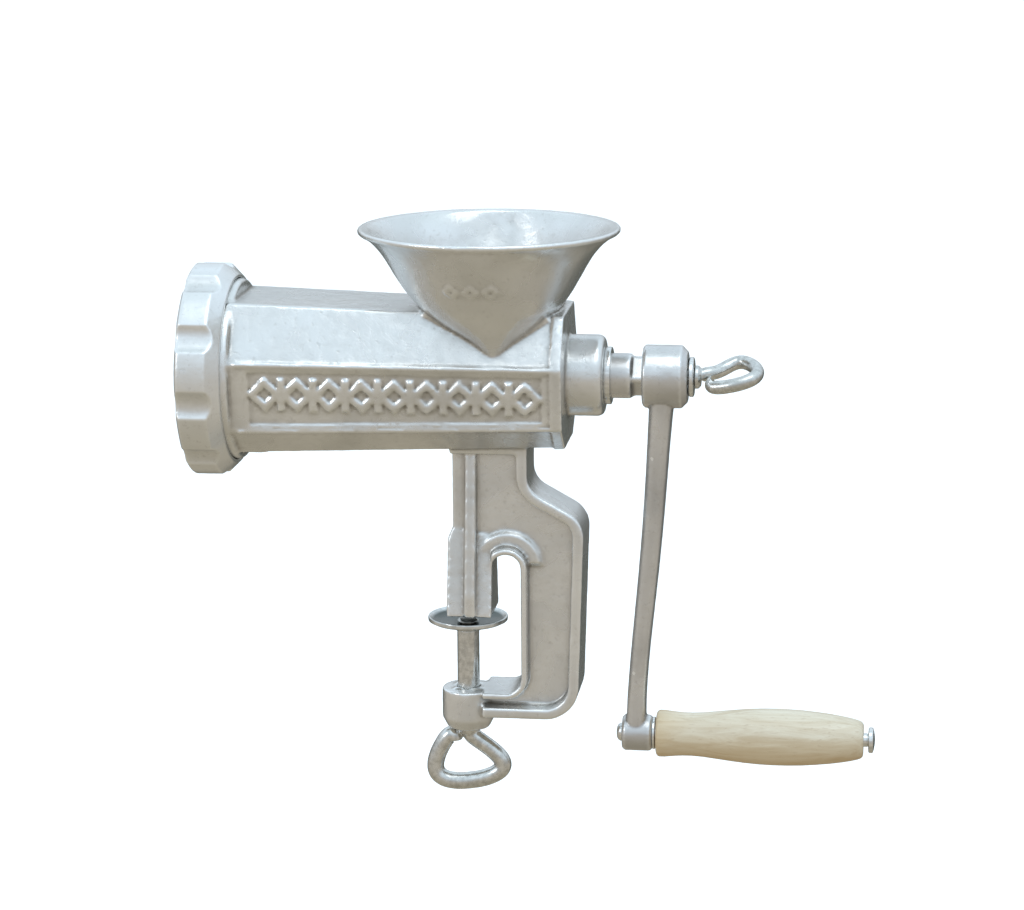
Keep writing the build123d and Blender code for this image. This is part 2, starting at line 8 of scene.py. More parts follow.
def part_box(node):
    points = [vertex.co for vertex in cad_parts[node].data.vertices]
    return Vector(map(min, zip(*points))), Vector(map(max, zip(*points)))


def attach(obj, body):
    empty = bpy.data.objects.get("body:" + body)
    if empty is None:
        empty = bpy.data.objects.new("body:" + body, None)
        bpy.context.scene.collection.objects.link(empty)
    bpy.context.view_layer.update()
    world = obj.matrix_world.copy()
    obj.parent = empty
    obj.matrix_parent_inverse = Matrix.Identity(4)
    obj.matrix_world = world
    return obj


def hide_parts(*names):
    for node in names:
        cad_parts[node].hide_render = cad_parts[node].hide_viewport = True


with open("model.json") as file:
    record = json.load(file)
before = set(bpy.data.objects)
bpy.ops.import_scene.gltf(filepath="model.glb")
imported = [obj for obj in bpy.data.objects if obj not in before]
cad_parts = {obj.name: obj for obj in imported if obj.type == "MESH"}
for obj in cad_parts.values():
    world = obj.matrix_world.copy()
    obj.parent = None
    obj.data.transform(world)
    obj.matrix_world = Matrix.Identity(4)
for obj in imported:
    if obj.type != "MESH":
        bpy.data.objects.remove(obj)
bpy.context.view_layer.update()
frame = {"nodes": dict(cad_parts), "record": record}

mm = 0.001
augerZ = 104.0 * mm  # auger axis above the clamping face
handleZ = augerZ - 156.7 * mm
alongX = Vector((1, 0, 0))
alongZ = Vector((0, 0, 1))


bodies = {
    member: body
    for body, members in frame["record"]["behaviour"]["bodies"].items()
    for member in members
}


# small helpers for selecting, applying and placing
def clearSelection():
    if bpy.context.object and bpy.context.object.mode != "OBJECT":
        bpy.ops.object.mode_set(mode="OBJECT")
    bpy.ops.object.select_all(action="DESELECT")


def holdPiece(piece):
    clearSelection()
    piece.select_set(True)
    bpy.context.view_layer.objects.active = piece


def openMesh(piece, everything=True):
    holdPiece(piece)
    bpy.ops.object.mode_set(mode="EDIT")
    bpy.ops.mesh.select_all(action="SELECT" if everything else "DESELECT")


def closeMesh():
    bpy.ops.object.mode_set(mode="OBJECT")


def nameNew(name):
    piece = bpy.context.object
    piece.name = name
    piece.data.name = name
    return piece


def settle(piece):  # the object goes to the origin and its place into its mesh
    holdPiece(piece)
    bpy.ops.object.transform_apply(location=True, rotation=True, scale=True)


def modify(piece, kind, **values):
    holdPiece(piece)
    added = piece.modifiers.new(kind.title(), kind)
    for key, value in values.items():
        setattr(added, key, value)
    bpy.ops.object.modifier_apply(modifier=added.name)


def smoothShade(piece, degrees):
    holdPiece(piece)
    bpy.ops.object.shade_smooth_by_angle(angle=math.radians(degrees))


def joinInto(piece, others):
    holdPiece(piece)
    for other in others:
        other.select_set(True)
    bpy.ops.object.join()


def place(piece, nodeName, look):  # the piece stands for one CAD node and rides on its body
    piece.data.materials.clear()
    piece.data.materials.append(finishes[look["finish"]])
    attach(piece, bodies[nodeName])
    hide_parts(nodeName)


# shader groups that the finishes share
def startGroup(name, inputs, outputs):
    group = bpy.data.node_groups.new(name, "ShaderNodeTree")
    for socketName, kind, value in inputs:
        made = group.interface.new_socket(name=socketName, in_out="INPUT", socket_type=kind)
        made.default_value = value
    for socketName, kind in outputs:
        group.interface.new_socket(name=socketName, in_out="OUTPUT", socket_type=kind)
    entry = group.nodes.new("NodeGroupInput")
    leave = group.nodes.new("NodeGroupOutput")
    return group, entry, leave


def addNode(tree, kind, **values):
    node = tree.nodes.new(kind)
    for key, value in values.items():
        setattr(node, key, value)
    return node


def noiseOf(tree, vector, scale, detail=4.0, rough=0.55, distort=0.0):
    node = addNode(tree, "ShaderNodeTexNoise")
    node.inputs["Detail"].default_value = detail
    node.inputs["Roughness"].default_value = rough
    node.inputs["Distortion"].default_value = distort
    tree.links.new(vector, node.inputs["Vector"])
    if isinstance(scale, (int, float)):
        node.inputs["Scale"].default_value = scale
    else:
        tree.links.new(scale, node.inputs["Scale"])
    return node.outputs["Fac"]


def rampOf(tree, factor, low, high, fromValue=0.0, toValue=1.0):
    node = addNode(tree, "ShaderNodeMapRange")
    node.inputs["From Min"].default_value = low
    node.inputs["From Max"].default_value = high
    node.inputs["To Min"].default_value = fromValue
    node.inputs["To Max"].default_value = toValue
    tree.links.new(factor, node.inputs["Value"])
    return node.outputs["Result"]


def mathOf(tree, operation, first, second):
    node = addNode(tree, "ShaderNodeMath", operation=operation)
    for socket, value in zip(node.inputs, (first, second)):
        if isinstance(value, (int, float)):
            socket.default_value = value
        else:
            tree.links.new(value, socket)
    return node.outputs["Value"]


def mixColours(tree, factor, first, second):
    node = addNode(tree, "ShaderNodeMix", data_type="RGBA")
    if isinstance(factor, (int, float)):
        node.inputs[0].default_value = factor
    else:
        tree.links.new(factor, node.inputs[0])
    for socket, value in ((node.inputs[6], first), (node.inputs[7], second)):
        if isinstance(value, tuple):
            socket.default_value = (*value, 1.0)
        else:
            tree.links.new(value, socket)
    return node.outputs[2]


def buildSandGroup():  # sand-cast skin: fine grain, soft lumps and a slow drift of tone
    group, entry, leave = startGroup(
        "sandSkin",
        [
            ("Vector", "NodeSocketVector", (0, 0, 0)),
            ("Grain", "NodeSocketFloat", 900.0),
            ("Lumps", "NodeSocketFloat", 120.0),
        ],
        [("Height", "NodeSocketFloat"), ("Tone", "NodeSocketFloat"), ("Pits", "NodeSocketFloat")],
    )
    fine = noiseOf(group, entry.outputs["Vector"], entry.outputs["Grain"], 3.0, 0.6)
    soft = noiseOf(group, entry.outputs["Vector"], entry.outputs["Lumps"], 2.0, 0.5)
    drift = noiseOf(group, entry.outputs["Vector"], 26.0, 3.0, 0.55, 0.4)
    pits = rampOf(group, noiseOf(group, entry.outputs["Vector"], 480.0, 3.0, 0.6), 0.58, 0.74)
    height = mathOf(group, "ADD", mathOf(group, "MULTIPLY", fine, 0.35), mathOf(group, "MULTIPLY", soft, 0.8))
    height = mathOf(group, "SUBTRACT", height, mathOf(group, "MULTIPLY", pits, 0.25))
    group.links.new(height, leave.inputs["Height"])
    group.links.new(rampOf(group, drift, 0.32, 0.68), leave.inputs["Tone"])
    group.links.new(pits, leave.inputs["Pits"])
    return group


def buildBrushGroup():  # fine lines left by drawing or turning, stretched along one axis
    group, entry, leave = startGroup(
        "brushLines",
        [("Vector", "NodeSocketVector", (0, 0, 0)), ("Density", "NodeSocketFloat", 600.0)],
        [("Lines", "NodeSocketFloat"), ("Smudge", "NodeSocketFloat")],
    )
    lines = noiseOf(group, entry.outputs["Vector"], entry.outputs["Density"], 2.0, 0.6)
    smudge = noiseOf(group, entry.outputs["Vector"], 45.0, 4.0, 0.6, 0.3)
    group.links.new(rampOf(group, lines, 0.35, 0.65), leave.inputs["Lines"])
    group.links.new(rampOf(group, smudge, 0.35, 0.7), leave.inputs["Smudge"])
    return group


def buildWoodGroup():  # long beech grain with short flecks
    group, entry, leave = startGroup(
        "beechGrain",
        [("Vector", "NodeSocketVector", (0, 0, 0))],
        [("Bands", "NodeSocketFloat"), ("Flecks", "NodeSocketFloat"), ("Height", "NodeSocketFloat")],
    )
    stretch = addNode(group, "ShaderNodeMapping")
    stretch.inputs["Scale"].default_value = (0.09, 1.0, 1.0)
    group.links.new(entry.outputs["Vector"], stretch.inputs["Vector"])
    bands = noiseOf(group, stretch.outputs["Vector"], 210.0, 5.0, 0.62, 1.2)
    fleckPlace = addNode(group, "ShaderNodeMapping")
    fleckPlace.inputs["Scale"].default_value = (0.22, 1.0, 1.0)
    group.links.new(entry.outputs["Vector"], fleckPlace.inputs["Vector"])
    flecks = noiseOf(group, fleckPlace.outputs["Vector"], 1150.0, 2.0, 0.5)
    group.links.new(rampOf(group, bands, 0.36, 0.66), leave.inputs["Bands"])
    group.links.new(rampOf(group, flecks, 0.60, 0.70), leave.inputs["Flecks"])
    height = mathOf(group, "ADD", bands, mathOf(group, "MULTIPLY", flecks, 0.4))
    group.links.new(height, leave.inputs["Height"])
    return group


def buildWearShadeGroup():  # rubbed edges lightened as wear and as a painted highlight; hollows darkened as painted shade
    group, entry, leave = startGroup(
        "edgeWearHighlightShade",
        [("Lowest", "NodeSocketFloat", 0.505)],
        [("WornHighlight", "NodeSocketFloat"), ("HollowShade", "NodeSocketFloat")],
    )
    hollow = addNode(group, "ShaderNodeNewGeometry").outputs["Pointiness"]
    above = mathOf(group, "SUBTRACT", hollow, entry.outputs["Lowest"])
    # painted highlight mask, partly rubbed wear: sharp edges found by pointiness
    group.links.new(rampOf(group, above, 0.0, 0.045), leave.inputs["WornHighlight"])
    # painted shade mask: hollows and creases found by low pointiness
    group.links.new(rampOf(group, hollow, 0.500, 0.458), leave.inputs["HollowShade"])
    return group


sandGroup = buildSandGroup()
wearShadeGroup = buildWearShadeGroup()
brushGroup = buildBrushGroup()
woodGroup = buildWoodGroup()


def startMaterial(name, metallic, roughness):
    material = bpy.data.materials.new(name)
    material.use_nodes = True
    tree = material.node_tree
    shader = tree.nodes["Principled BSDF"]
    shader.inputs["Metallic"].default_value = metallic
    shader.inputs["Roughness"].default_value = roughness
    where = addNode(tree, "ShaderNodeTexCoord").outputs["Object"]
    return material, tree, shader, where


def placeGroup(tree, group, where, **values):
    node = addNode(tree, "ShaderNodeGroup", node_tree=group)
    tree.links.new(where, node.inputs["Vector"])
    for key, value in values.items():
        node.inputs[key].default_value = value
    return node


def bumpInto(tree, shader, height, strength, distance):
    bump = addNode(tree, "ShaderNodeBump")
    bump.inputs["Strength"].default_value = strength
    bump.inputs["Distance"].default_value = distance
    tree.links.new(height, bump.inputs["Height"])
    tree.links.new(bump.outputs["Normal"], shader.inputs["Normal"])


def overlay(tree, mask, amount, under, over):  # lays a colour over a tone where a mask allows it
    return mixColours(tree, mathOf(tree, "MULTIPLY", mask, amount), under, over)


bareTinHighlight = (0.97, 0.98, 0.98)  # on sharp edges: bare tin as rubbed wear and as a painted highlight
# painted shadow: near-black tone laid over the inside of the clamp pad's dish
dishShadow = (0.035, 0.045, 0.035)
beechTones = {
    "late": (0.66, 0.55, 0.39),
    "early": (0.83, 0.76, 0.61),
    "fleck": (0.40, 0.26, 0.14),
    # painted warm shade for the grip's underside and crank-arm end
    "warmShade": (0.60, 0.39, 0.14),
}


def castFinish(name, light, dark, stainAndShade, roughLow, roughHigh, grain, lumps, depth):
    material, tree, shader, where = startMaterial(name, 0.86, roughLow)
    skin = placeGroup(tree, sandGroup, where, Grain=grain, Lumps=lumps)
    wearShade = addNode(tree, "ShaderNodeGroup", node_tree=wearShadeGroup)
    tone = mixColours(tree, skin.outputs["Tone"], dark, light)
    tone = overlay(tree, skin.outputs["Pits"], 0.2, tone, stainAndShade)
    # painted shade: hollows and creases darkened with the stain tone
    tone = overlay(tree, wearShade.outputs["HollowShade"], 0.85, tone, stainAndShade)
    # painted highlight: sharp edges lightened towards bare tin, partly as rubbed wear
    tone = overlay(tree, wearShade.outputs["WornHighlight"], 0.7, tone, bareTinHighlight)
    tree.links.new(tone, shader.inputs["Base Color"])
    rough = rampOf(tree, skin.outputs["Tone"], 0.0, 1.0, roughHigh, roughLow)
    tree.links.new(rough, shader.inputs["Roughness"])
    bumpInto(tree, shader, skin.outputs["Height"], 0.55, depth)
    return material


def steelFinish(name, light, dark, roughLow, roughHigh, stretch, density):
    material, tree, shader, where = startMaterial(name, 0.95, roughLow)
    turned = addNode(tree, "ShaderNodeMapping")
    turned.inputs["Scale"].default_value = stretch
    tree.links.new(where, turned.inputs["Vector"])
    brush = placeGroup(tree, brushGroup, turned.outputs["Vector"], Density=density)
    tone = mixColours(tree, brush.outputs["Lines"], dark, light)
    tone = overlay(tree, brush.outputs["Smudge"], 0.3, tone, dark)
    tree.links.new(tone, shader.inputs["Base Color"])
    rough = rampOf(tree, brush.outputs["Smudge"], 0.0, 1.0, roughLow, roughHigh)
    tree.links.new(rough, shader.inputs["Roughness"])
    bumpInto(tree, shader, brush.outputs["Lines"], 0.25, 0.00004)
    return material


# plated dish, its inside darkened as painted shadow
def padFinish(name, light, dark, roughLow, roughHigh, stretch, density):
    material = steelFinish(name, light, dark, roughLow, roughHigh, stretch, density)
    tree = material.node_tree
    shader = tree.nodes["Principled BSDF"]
    tone = shader.inputs["Base Color"].links[0].from_socket
    split = addNode(tree, "ShaderNodeSeparateXYZ")
    tree.links.new(addNode(tree, "ShaderNodeTexCoord").outputs["Object"], split.inputs["Vector"])
    acrossSquared = mathOf(tree, "POWER", split.outputs["X"], 2.0)
    deepSquared = mathOf(tree, "POWER", split.outputs["Y"], 2.0)
    reach = mathOf(tree, "SQRT", mathOf(tree, "ADD", acrossSquared, deepSquared), 0.0)
    withinRim = rampOf(tree, reach, 15.9 * mm, 14.8 * mm)
    aboveBase = rampOf(tree, split.outputs["Z"], -5.9 * mm, -5.5 * mm)
    # painted shadow over the dish's inside, within the rim and above the base
    inside = mathOf(tree, "MULTIPLY", withinRim, aboveBase)
    tree.links.new(overlay(tree, inside, 0.88, tone, dishShadow), shader.inputs["Base Color"])
    return material


def beechFinish():
    material, tree, shader, where = startMaterial("beechVarnished", 0.0, 0.42)
    shader.inputs["Coat Weight"].default_value = 0.25
    shader.inputs["Coat Roughness"].default_value = 0.28
    grain = placeGroup(tree, woodGroup, where)
    tone = mixColours(tree, grain.outputs["Bands"], beechTones["late"], beechTones["early"])
    tone = overlay(tree, grain.outputs["Flecks"], 0.22, tone, beechTones["fleck"])
    split = addNode(tree, "ShaderNodeSeparateXYZ")
    tree.links.new(where, split.inputs["Vector"])
    # painted warm shade: the grip darkens and warms towards its underside and its crank-arm end
    below = rampOf(tree, split.outputs["Z"], handleZ + 4 * mm, handleZ - 15 * mm, 0.0, 0.8)
    armEndShade = rampOf(tree, split.outputs["X"], 98 * mm, 72 * mm, 0.0, 0.65)
    tone = mixColours(tree, mathOf(tree, "MAXIMUM", below, armEndShade), tone, beechTones["warmShade"])
    tree.links.new(tone, shader.inputs["Base Color"])
    rough = rampOf(tree, grain.outputs["Bands"], 0.0, 1.0, 0.5, 0.36)
    tree.links.new(rough, shader.inputs["Roughness"])
    bumpInto(tree, shader, grain.outputs["Height"], 0.35, 0.00012)
    return material


def fibreFinish():
    material, tree, shader, where = startMaterial("fibreRed", 0.0, 0.75)
    mottle = noiseOf(tree, where, 700.0, 3.0, 0.6)
    tone = mixColours(tree, mottle, (0.24, 0.07, 0.05), (0.45, 0.17, 0.12))
    tree.links.new(tone, shader.inputs["Base Color"])
    bumpInto(tree, shader, mottle, 0.3, 0.00005)
    return material


# the stain tone serves the sand pits and the painted shade in hollows
finishes = {
    "casting": castFinish(
        "tinnedCasting", light=(0.82, 0.82, 0.81), dark=(0.66, 0.655, 0.64), stainAndShade=(0.26, 0.24, 0.21),
        roughLow=0.20, roughHigh=0.36, grain=950.0, lumps=140.0, depth=0.26 * mm,
    ),
    "nutCast": castFinish(
        "tinnedNut", light=(0.92, 0.93, 0.93), dark=(0.78, 0.78, 0.77), stainAndShade=(0.24, 0.21, 0.18),
        roughLow=0.24, roughHigh=0.36, grain=1100.0, lumps=160.0, depth=0.16 * mm,
    ),
    "fineCast": castFinish(
        "tinnedSmall", light=(0.76, 0.755, 0.75), dark=(0.54, 0.53, 0.52), stainAndShade=(0.22, 0.20, 0.18),
        roughLow=0.24, roughHigh=0.36, grain=1300.0, lumps=260.0, depth=0.14 * mm,
    ),
    "turned": steelFinish(
        "platedTurned", light=(0.86, 0.86, 0.85), dark=(0.68, 0.68, 0.67),
        roughLow=0.16, roughHigh=0.30, stretch=(0.1, 1.0, 1.0), density=1300.0,
    ),
    "forged": steelFinish(
        "platedForged", light=(0.76, 0.76, 0.74), dark=(0.54, 0.54, 0.52),
        roughLow=0.18, roughHigh=0.32, stretch=(1.0, 1.0, 1.0), density=420.0,
    ),
    "pressed": padFinish(
        "platedPressed", light=(0.82, 0.83, 0.82), dark=(0.60, 0.61, 0.60),
        roughLow=0.14, roughHigh=0.26, stretch=(1.0, 1.0, 1.0), density=260.0,
    ),
    "ground": steelFinish(
        "toolGround", light=(0.66, 0.66, 0.67), dark=(0.42, 0.42, 0.43),
        roughLow=0.24, roughHigh=0.42, stretch=(1.0, 0.15, 1.0), density=700.0,
    ),
    "beech": beechFinish(),
    "fibre": fibreFinish(),
}
print("finishes made")

# camera, lights and floor
viewpoint = {
    "eye": (184.1 * mm, -1250.0 * mm, 352.8 * mm),
    "target": (19.5 * mm, 0.0, 68.7 * mm),
    "lens": 106.9,
    "roll": -0.35,
}
floorPlan = {"level": -0.30, "size": 40.0}
backShade = {"strength": 0.85, "middle": -0.25, "tone": (0.03, 0.045, 0.04)}  # the dim band behind the object
skyTones = (  # height of the direction, from straight down at 0 to straight up at 1
    (0.00, (0.40, 0.365, 0.28)),
    (0.20, (0.46, 0.42, 0.34)),
    (0.40, (0.56, 0.52, 0.45)),
    (0.50, (0.54, 0.52, 0.49)),
    (0.60, (0.66, 0.72, 0.77)),
    (0.78, (0.86, 1.01, 1.14)),
    (1.00, (0.80, 0.96, 1.06)),
)


softLamps = (
    {"name": "topSoft", "spot": (0.3, -0.5, 1.6), "aim": (0, 0, 0.1), "size": (1.2, 1.0), "watts": 5,
     "colour": (0.93, 0.97, 1.0)},
    {"name": "leftSoft", "spot": (-1.6, -1.3, 0.9), "aim": (-0.05, 0, 0.1), "size": (0.8, 0.8), "watts": 5,
     "colour": (0.96, 0.98, 1.0)},
)


def setCamera():
    bpy.ops.object.camera_add(location=viewpoint["eye"])
    camera = bpy.context.object
    camera.name = "viewCamera"
    gaze = Vector(viewpoint["target"]) - Vector(viewpoint["eye"])
    camera.rotation_euler = gaze.to_track_quat("-Z", "Y").to_euler()
    camera.rotation_euler.rotate_axis("Z", math.radians(viewpoint["roll"]))
    camera.data.lens = viewpoint["lens"]
    camera.data.sensor_width = 36.0
    camera.data.clip_start = 0.05
    camera.data.clip_end = 60.0
    bpy.context.scene.camera = camera


def softLight(name, spot, aim, size, watts, colour):
    bpy.ops.object.light_add(type="AREA", location=spot)
    lamp = bpy.context.object
    lamp.name = name
    lamp.rotation_euler = (Vector(aim) - Vector(spot)).to_track_quat("-Z", "Y").to_euler()
    lamp.data.shape = "RECTANGLE"
    lamp.data.size, lamp.data.size_y = size
    lamp.data.energy = watts
    lamp.data.color = colour


def setWorld():  # warm and dim below, cool and bright above, darker behind; the camera itself sees white
    world = bpy.data.worlds.new("studioWorld")
    bpy.context.scene.world = world
    world.use_nodes = True
    tree = world.node_tree
    sky = tree.nodes["Background"]
    split = addNode(tree, "ShaderNodeSeparateXYZ")
    tree.links.new(addNode(tree, "ShaderNodeTexCoord").outputs["Generated"], split.inputs["Vector"])
    ramp = addNode(tree, "ShaderNodeValToRGB")
    stops = ramp.color_ramp.elements
    for stop, (height, colour) in zip([stops[0], stops[1]], (skyTones[0], skyTones[-1])):
        stop.position = height
        stop.color = (*colour, 1)
    for height, colour in skyTones[1:-1]:
        stops.new(height).color = (*colour, 1)
    tree.links.new(rampOf(tree, split.outputs["Z"], -1.0, 1.0), ramp.inputs["Fac"])
    fromMiddle = mathOf(tree, "SUBTRACT", split.outputs["Z"], backShade["middle"])
    height = mathOf(tree, "ABSOLUTE", fromMiddle, 0.0)
    band = rampOf(tree, height, 0.46, 0.2, 0.0, backShade["strength"])
    behind = mathOf(tree, "MULTIPLY", rampOf(tree, split.outputs["Y"], 0.15, 0.8), band)
    shaded = mixColours(tree, behind, ramp.outputs["Color"], backShade["tone"])
    seen = addNode(tree, "ShaderNodeLightPath").outputs["Is Camera Ray"]
    tree.links.new(mixColours(tree, seen, shaded, (1.0, 1.0, 1.0)), sky.inputs["Color"])


def setFloor():
    material, _, shader, _ = startMaterial("paleFloor", 0.0, 0.9)
    shader.inputs["Base Color"].default_value = (0.90, 0.90, 0.90, 1)
    shader.inputs["Specular IOR Level"].default_value = 0.1
    shader.inputs["Emission Color"].default_value = (1, 1, 1, 1)
    shader.inputs["Emission Strength"].default_value = 0.35
    bpy.ops.mesh.primitive_plane_add(size=floorPlan["size"], location=(0, 0, floorPlan["level"]))
    floor = nameNew("paleFloor")
    settle(floor)
    floor.data.materials.append(material)
    floor.visible_glossy = False  # the object sees the studio's soft light, not the white floor
    floor.visible_diffuse = False


setCamera()
setWorld()
setFloor()
for lamp in softLamps:
    softLight(**lamp)
bpy.context.scene.view_settings.view_transform = "Standard"
print("camera, lights and floor set")


# small raised shapes that the body casting carries, in mm
barrel = {
    "front": -97.0, "back": 44.0, "halfFront": 32.6, "halfBack": 28.0,
    "corners": ((0.72, 0.985), (1.12, 0.26), (0.985, -0.64)),  # across and up, as shares of the half width
}
panel = {
    "left": -90.0, "right": 39.0, "step": 13.6, "proud": 0.45, "root": 1.2,
    "lozenges": 9, "lozengeRadius": 7.3, "lozengeHollow": 3.7,
    "bars": 8, "barWidth": 2.5, "barHeight": 14.0,
}
ridges = {"left": -92.0, "right": 41.0, "sink": 0.55, "radii": ((1, 1.25), (2, 1.15))}  # corner, bead radius
hopperFoot = {  # x, and height above the auger, where the hopper meets the upper side facet
    "radius": 1.15,
    "points": ((-14.5, 29.0), (1.5, 21.6), (12.5, 16.0), (16.0, 15.2), (20.0, 16.6), (37.5, 27.2)),
}
hopperMark = {
    "radius": 3.3, "hollow": 1.4, "proud": 0.5, "root": 1.0,
    "height": 146.0, "places": (0.5, 8.7, 16.9),
}
hopperLip = {"middle": 10.4, "radius": 54.0, "thick": 1.25, "below": 0.9}


def barrelCorner(x, index, hand):
    share = (x - barrel["front"]) / (barrel["back"] - barrel["front"])
    half = barrel["halfFront"] + (barrel["halfBack"] - barrel["halfFront"]) * share
    across, up = barrel["corners"][index]
    return Vector((x * mm, hand * half * across * mm, augerZ + half * up * mm))


def facetPoint(x, up, hand):  # on the upper side facet, at a height above the auger
    high, low = barrelCorner(x, 0, hand), barrelCorner(x, 1, hand)
    return high.lerp(low, (high.z - augerZ - up * mm) / (high.z - low.z))


def facetFrame(hand):  # stands on the side panel, with its z outwards
    topLeft, topRight = barrelCorner(panel["left"], 1, hand), barrelCorner(panel["right"], 1, hand)
    lowLeft, lowRight = barrelCorner(panel["left"], 2, hand), barrelCorner(panel["right"], 2, hand)
    along = (topRight - topLeft).normalized() * -hand
    up = (topLeft - lowLeft).normalized()
    out = along.cross(up)
    turn = Matrix((along, out.cross(along), out)).transposed()
    return Matrix.LocRotScale((topLeft + lowRight) / 2, turn, None)


def topFace(piece):  # selects the faces that look up
    openMesh(piece, False)
    bpy.ops.mesh.select_mode(type="FACE")
    closeMesh()
    highest = max(corner.co.z for corner in piece.data.vertices)
    for face in piece.data.polygons:
        face.select = face.normal.z > 0.9 and face.center.z > highest - 0.05 * mm
    bpy.ops.object.mode_set(mode="EDIT")


def lozengeStamp(radius, hollow, rise, root):
    bpy.ops.object.select_all(action="DESELECT")
    bpy.ops.mesh.primitive_cylinder_add(
        vertices=4, radius=radius * mm, depth=(rise + root) * mm, location=(0, 0, (rise - root) / 2 * mm)
    )
    stamp = nameNew("stamp")
    settle(stamp)
    topFace(stamp)
    bpy.ops.mesh.inset(thickness=(radius - hollow) * 0.7071 * mm)  # corner distance to side distance
    bpy.ops.mesh.extrude_region_move(TRANSFORM_OT_translate={"value": (0, 0, -(rise + root * 0.8) * mm)})
    closeMesh()
    return stamp


def barStamp(width, height, rise, root):
    bpy.ops.object.select_all(action="DESELECT")
    bpy.ops.mesh.primitive_cube_add(
        size=1, location=(0, 0, (rise - root) / 2 * mm), scale=(width * mm, height * mm, (rise + root) * mm)
    )
    stamp = nameNew("stamp")
    settle(stamp)
    topFace(stamp)
    bpy.ops.mesh.inset(thickness=0.5 * mm)
    bpy.ops.transform.translate(value=(0, 0, 0.15 * mm))
    closeMesh()
    return stamp


def beadBetween(start, end, radius):
    run = end - start
    bpy.ops.object.select_all(action="DESELECT")
    bpy.ops.mesh.primitive_cylinder_add(
        vertices=16, radius=radius * mm, depth=run.length,
        location=(start + end) / 2, rotation=run.to_track_quat("Z", "Y").to_euler(),
    )
    bead = nameNew("bead")
    settle(bead)
    return bead


def stampCopy(stamp, placed):
    made = stamp.copy()
    made.data = stamp.data.copy()
    bpy.context.scene.collection.objects.link(made)
    made.data.transform(placed)
    return made


def sideExtras(hand, lozenge, bar):  # ornament, ridge beads and hopper foot on one side of the barrel
    extras = []
    facet = facetFrame(hand)
    for stamp, count in ((lozenge, panel["lozenges"]), (bar, panel["bars"])):
        for index in range(count):
            shift = (index - (count - 1) / 2) * panel["step"] * mm
            extras.append(stampCopy(stamp, facet @ Matrix.Translation((shift, 0, 0))))
    inwards = Vector((0, -hand * ridges["sink"] * mm, 0))
    for index, radius in ridges["radii"]:
        left = barrelCorner(ridges["left"], index, hand) + inwards
        right = barrelCorner(ridges["right"], index, hand) + inwards
        extras.append(beadBetween(left, right, radius))
    foot = [facetPoint(x, up, hand) for x, up in hopperFoot["points"]]
    for start, end in zip(foot, foot[1:]):
        extras.append(beadBetween(start, end, hopperFoot["radius"]))
    return extras


def markExtras():  # small lozenges on the hopper's front
    mark = lozengeStamp(hopperMark["radius"], hopperMark["hollow"], hopperMark["proud"], hopperMark["root"])
    source = frame["nodes"]["body_casting"]
    extras = []
    for x in hopperMark["places"]:
        start = Vector((x * mm, -0.4, hopperMark["height"] * mm))
        _, spot, normal, _ = source.ray_cast(start, Vector((0, 1, 0)))
        turn = normal.to_track_quat("Z", "Y").to_matrix()
        extras.append(stampCopy(mark, Matrix.LocRotScale(spot, turn, None)))
    bpy.data.objects.remove(mark)
    return extras


def lipBead():
    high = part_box("body_casting")[1]
    bpy.ops.object.select_all(action="DESELECT")
    bpy.ops.mesh.primitive_torus_add(
        major_segments=160, minor_segments=12,
        location=(hopperLip["middle"] * mm, 0, high.z - hopperLip["below"] * mm),
        major_radius=hopperLip["radius"] * mm, minor_radius=hopperLip["thick"] * mm,
    )
    lip = nameNew("lip")
    settle(lip)
    return lip


def bodyExtras():
    lozenge = lozengeStamp(panel["lozengeRadius"], panel["lozengeHollow"], panel["proud"], panel["root"])
    bar = barStamp(panel["barWidth"], panel["barHeight"], panel["proud"], panel["root"])
    extras = sideExtras(-1, lozenge, bar) + sideExtras(1, lozenge, bar)
    bpy.data.objects.remove(lozenge)
    bpy.data.objects.remove(bar)
    return [*extras, *markExtras(), lipBead()]


# castings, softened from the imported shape
def mergedCopy(nodeName, pieceName):
    source = frame["nodes"][nodeName]
    piece = bpy.data.objects.new(pieceName, source.data.copy())
    bpy.context.scene.collection.objects.link(piece)
    openMesh(piece)
    bpy.ops.mesh.remove_doubles(threshold=0.002 * mm)
    closeMesh()
    return piece


def castCopy(nodeName, look, extras=()):
    piece = mergedCopy(nodeName, look["name"])
    if extras:
        joinInto(piece, extras)
    modify(piece, "REMESH", mode="VOXEL", voxel_size=look["voxel"] * mm, adaptivity=0.0)
    modify(piece, "SMOOTH", factor=0.5, iterations=look["smooth"])
    lumps = bpy.data.textures.new(look["name"] + "Lumps", "CLOUDS")
    lumps.noise_scale = look["lumpSize"] * mm
    lumps.noise_depth = 2
    strength = look["lump"] * mm
    modify(piece, "DISPLACE", texture=lumps, texture_coords="LOCAL", strength=strength, mid_level=0.6)
    triangles = len(piece.data.polygons) * 2
    if triangles > look["most"]:
        modify(piece, "DECIMATE", ratio=look["most"] / triangles)
    smoothShade(piece, 180)
    place(piece, nodeName, look)
    print("cast", look["name"], len(piece.data.polygons))


